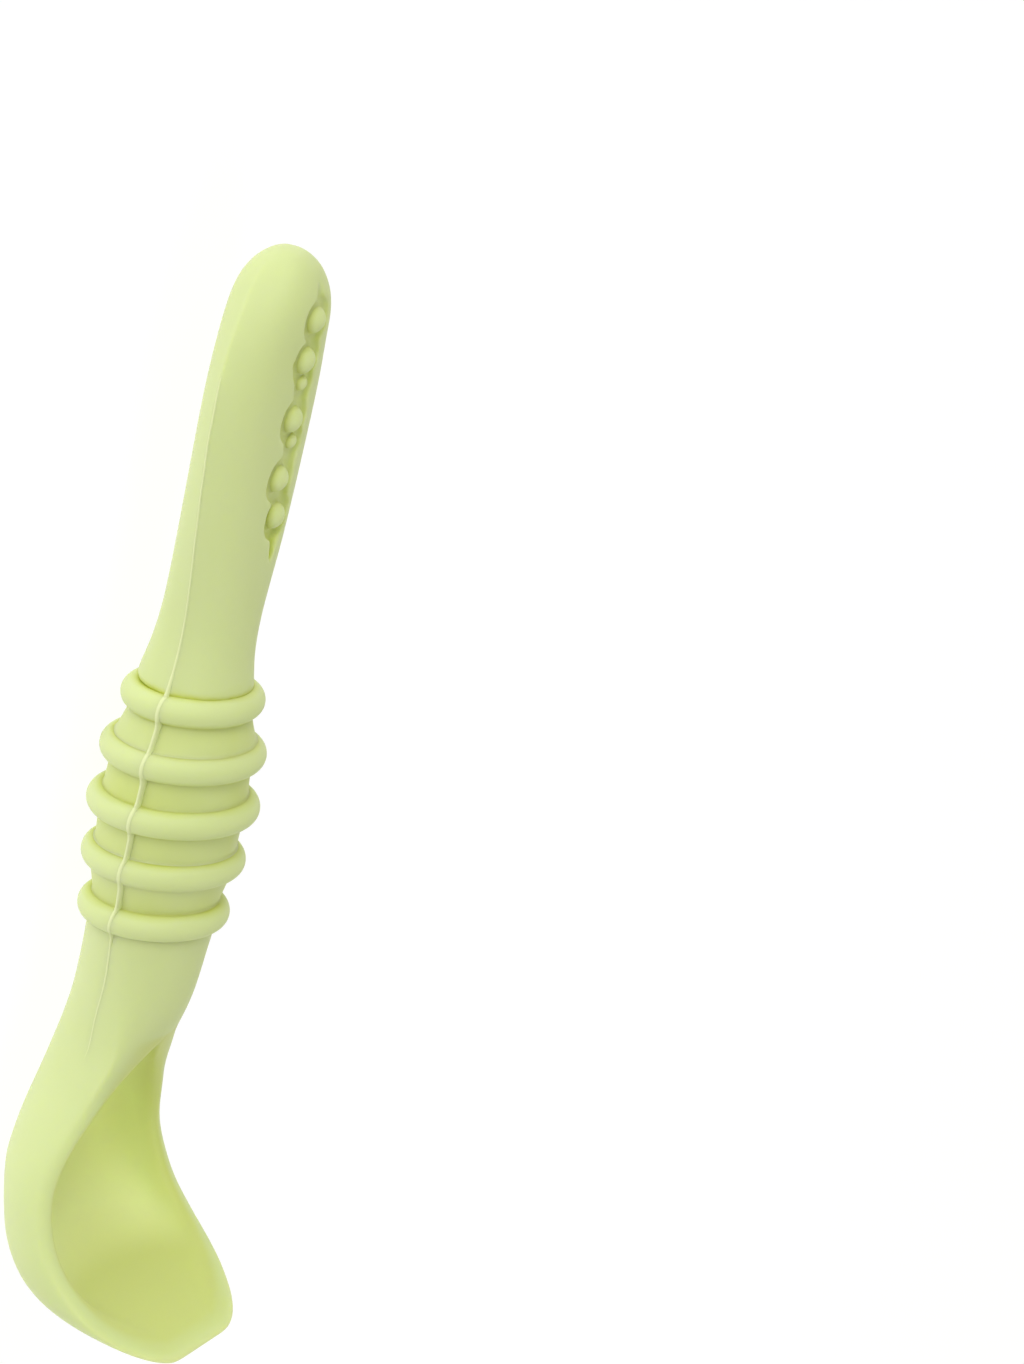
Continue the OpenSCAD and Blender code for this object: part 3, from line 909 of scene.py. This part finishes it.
# %% Say how wide and how high the line stands
LINE_HALF = 0.27 * MM
LINE_WIDTHS = [(-48, 0.5), (-20, 0.5), (-14, 0.7), (-11, 1), (13, 1), (17, 0.6), (36, 0.4)]
LINE_LIFTS = {0: 0.07, 1: 0.05, 2: -0.05}
FIN_SHARES = {0: 1, 1: 0.95, 2: 0}
LINE_SINK = -0.08
FADE_FROM, FADE_TO = 4 * MM, 20 * MM
GROOVE_FIN = 0.45
FIN_REACH = 3.5 * MM
SOFT_STEPS = 5
LINE_DEPTH = 1.8 * MM
peaks = [
    round(x / LINE_STEP)
    for x in [neck_from - FIN_REACH] + [middle.x for middle in ring_middles] + [neck_to + FIN_REACH]
]


def between(table, value):
    """Value on a straight line through the rows of a table."""
    for (a, va), (b, vb) in zip(table, table[1:]):
        if value <= b:
            return va + (vb - va) * max(0, value - a) / (b - a)
    return table[-1][1]


def fin_reach(outer):
    """How far out the line stands: over the grooves it keeps a share of the rings' height."""
    tops = [(peak, outer[peak]) for peak in peaks]
    inner = [place for place in outer if peaks[0] <= place <= peaks[-1]]
    stand = dict(outer)
    for place in inner:
        stand[place] += GROOVE_FIN * max(0, between(tops, place) - outer[place])
    soft = dict(outer)
    for place in inner:
        near = [stand[place + step] for step in range(-SOFT_STEPS, SOFT_STEPS + 1)]
        soft[place] = max(outer[place], sum(near) / len(near))
    return soft


print("The line is lifted by", LINE_LIFTS[0], "mm and is", 2 * LINE_HALF / MM, "mm wide at most")

# %% Lay the line on both sides
line_sides = []
for way, side_name in ((-1, "near"), (1, "far")):
    bpy.ops.object.select_all(action="DESELECT")
    bpy.ops.mesh.primitive_grid_add(
        x_subdivisions=round((LINE_TO - LINE_FROM) / LINE_STEP), y_subdivisions=4, size=1,
        location=((LINE_FROM + LINE_TO) / 2, way * 20 * MM, 0), rotation=(math.radians(90), 0, 0))
    line = added("parting_line_" + side_name)
    line.scale = (LINE_TO - LINE_FROM, 2 * LINE_HALF, 1)
    rest_place(line)
    rows = [round(2 * abs(vertex.co.z) / LINE_HALF) for vertex in line.data.vertices]
    for vertex in line.data.vertices:
        width = between(LINE_WIDTHS, vertex.co.x / MM)
        vertex.co.z = width * vertex.co.z + smooth_level(vertex.co.x)
    apply_modifier(
        line, "SHRINKWRAP", wrap_method="PROJECT", target=press, use_project_y=True,
        use_negative_direction=way > 0, use_positive_direction=way < 0)
    line.data.update()
    normals = [vertex.normal.copy() for vertex in line.data.vertices]
    outer = {}
    for vertex in line.data.vertices:
        place = round(vertex.co.x / LINE_STEP)
        outer[place] = max(outer.get(place, 0), abs(vertex.co.y))
    fin = fin_reach(outer)
    for vertex, row in zip(line.data.vertices, rows):
        place = round(vertex.co.x / LINE_STEP)
        vertex.co.y += way * FIN_SHARES[row] * (fin[place] - outer[place])
    for vertex, normal, row in zip(line.data.vertices, normals, rows):
        outward = normal if normal.y * way > 0 else -normal
        if neck_from - FIN_REACH < vertex.co.x < neck_to + FIN_REACH:
            outward = Vector((0, way, 0))
        inset = min((vertex.co.x - LINE_FROM) / FADE_FROM, (LINE_TO - vertex.co.x) / FADE_TO)
        full = min(1, max(0, inset)) ** 0.5
        vertex.co += outward * (LINE_SINK + (LINE_LIFTS[row] - LINE_SINK) * full) * MM
    bpy.ops.object.mode_set(mode="EDIT")
    bpy.ops.mesh.select_all(action="SELECT")
    bpy.ops.mesh.extrude_region_move(TRANSFORM_OT_translate={"value": (0, -way * LINE_DEPTH, 0)})
    bpy.ops.mesh.select_all(action="SELECT")
    bpy.ops.mesh.normals_make_consistent(inside=False)
    bpy.ops.object.mode_set(mode="OBJECT")
    line_sides.append(line)
only(line_sides[0])
line_sides[1].select_set(True)
bpy.ops.object.join()
parting_line = added("parting_line")
# The line's paler lime is a painted highlight.
parting_line.data.materials.append(seam_painted_highlight_silicone)
finished(parting_line, "silicone_body")

# %% [markdown]
# ## Painted light and shade in the hollows
#
# Light that falls into the bowl or between two rings bounces from lime to lime and comes out richer
# in colour. Here that light and shade is painted into the colour, after a measure: from every point
# of the skins a fan of rays is sent out, and the share of them that meets the spoon again is kept
# with the point as "occlusion". The finish reads it and paints shade, a darker, greener lime, into
# the creases, and paints light, a paler lime, deep in the cavity. The values are spread a little,
# and in the cavity a lot, so that no single ray shows. Inside the rim they never fall below a small
# value, which paints a line of shade along the rim's inner edge.

# %% Set up the fan of rays
RAYS = 12
FAN_OPENS = 0.9
HOLLOW_REACH = 25 * MM
START_OFF = 0.05 * MM
spiral = math.pi * (3 - math.sqrt(5))
fan = []
for i in range(RAYS):
    rise = 1 - (i + 0.5) / RAYS * FAN_OPENS
    aside = math.sqrt(1 - rise * rise)
    fan.append(Vector((aside * math.cos(i * spiral), aside * math.sin(i * spiral), rise)))
grid = BVHTree.FromPolygons(
    [vertex.co for vertex in press.data.vertices], [face.vertices for face in press.data.polygons])
bpy.data.objects.remove(press)
print("Lowest ray rises by", round(math.degrees(math.asin(rise)), 1), "degrees")


# %% Measure how occluded each place is, for the painted light and shade
SOFTENINGS, CAVITY_SOFTENINGS = 6, 80
# Lowest occlusion inside the rim: it paints a line of shade along the rim's inner edge.
RIM_EDGE_PAINTED_SHADE_FLOOR = 0.12
RIM_FROM, RIM_TO = 0.05, 0.3


def hollowness(vertex):
    """Share of a fan of rays that meets the spoon again, near hits counting most."""
    facing = vertex.normal.to_track_quat("Z", "Y")
    start = vertex.co + START_OFF * vertex.normal
    total = 0
    for ray in fan:
        distance = grid.ray_cast(start, facing @ ray, HOLLOW_REACH)[3]
        if distance is not None:
            total += 1 - distance / HOLLOW_REACH
    return total / RAYS


nub_rows = [bpy.data.objects[name + "_soft"] for name in ("large_nubs", "small_nubs")]
rings = [bpy.data.objects[name + "_bead"] for name in ring_names]


def may_be_hollow(piece, co):
    """Leaves out the smooth outside of the handle and of the throat."""
    if piece is handle:
        return near_recess(co) or co.x > neck_from - FIN_REACH
    return piece is not bowl or co.x > CREST_STARTS - 4 * MM


def softened(piece, values, times):
    """Spreads the points' values: each time, half comes from the points next to it."""
    ends = np.empty(2 * len(piece.data.edges), np.int32)
    piece.data.edges.foreach_get("vertices", ends)
    here = np.concatenate((ends[::2], ends[1::2]))
    there = np.concatenate((ends[1::2], ends[::2]))
    neighbours = np.bincount(here, minlength=len(values))
    for _ in range(times):
        around = np.bincount(here, weights=values[there], minlength=len(values))
        values = (values + around / neighbours) / 2
    return values


for piece in [handle, neck, bowl] + nub_rows + rings:
    points = piece.data.vertices
    values = np.array([
        hollowness(point) if may_be_hollow(piece, point.co) else 0.0 for point in points
    ])
    # In the cavity the occlusion is spread far and kept above a minimum inside the rim: painted
    # light deep in the cavity, painted shade along the rim's inner edge.
    if piece is bowl:
        facing = np.array([inwardness(point) for point in points])
        cavity_paint_mask = np.clip((facing - RIM_FROM) / (RIM_TO - RIM_FROM), 0, 1)
        values = cavity_paint_mask * np.maximum(softened(piece, values, CAVITY_SOFTENINGS), RIM_EDGE_PAINTED_SHADE_FLOOR)
    values = softened(piece, values, SOFTENINGS)
    hollow = piece.data.attributes.new("hollow", "FLOAT", "POINT")
    hollow.data.foreach_set("value", values.astype(np.float32))
    print(piece.name, "is at most", round(float(values.max()), 2), "hollow")
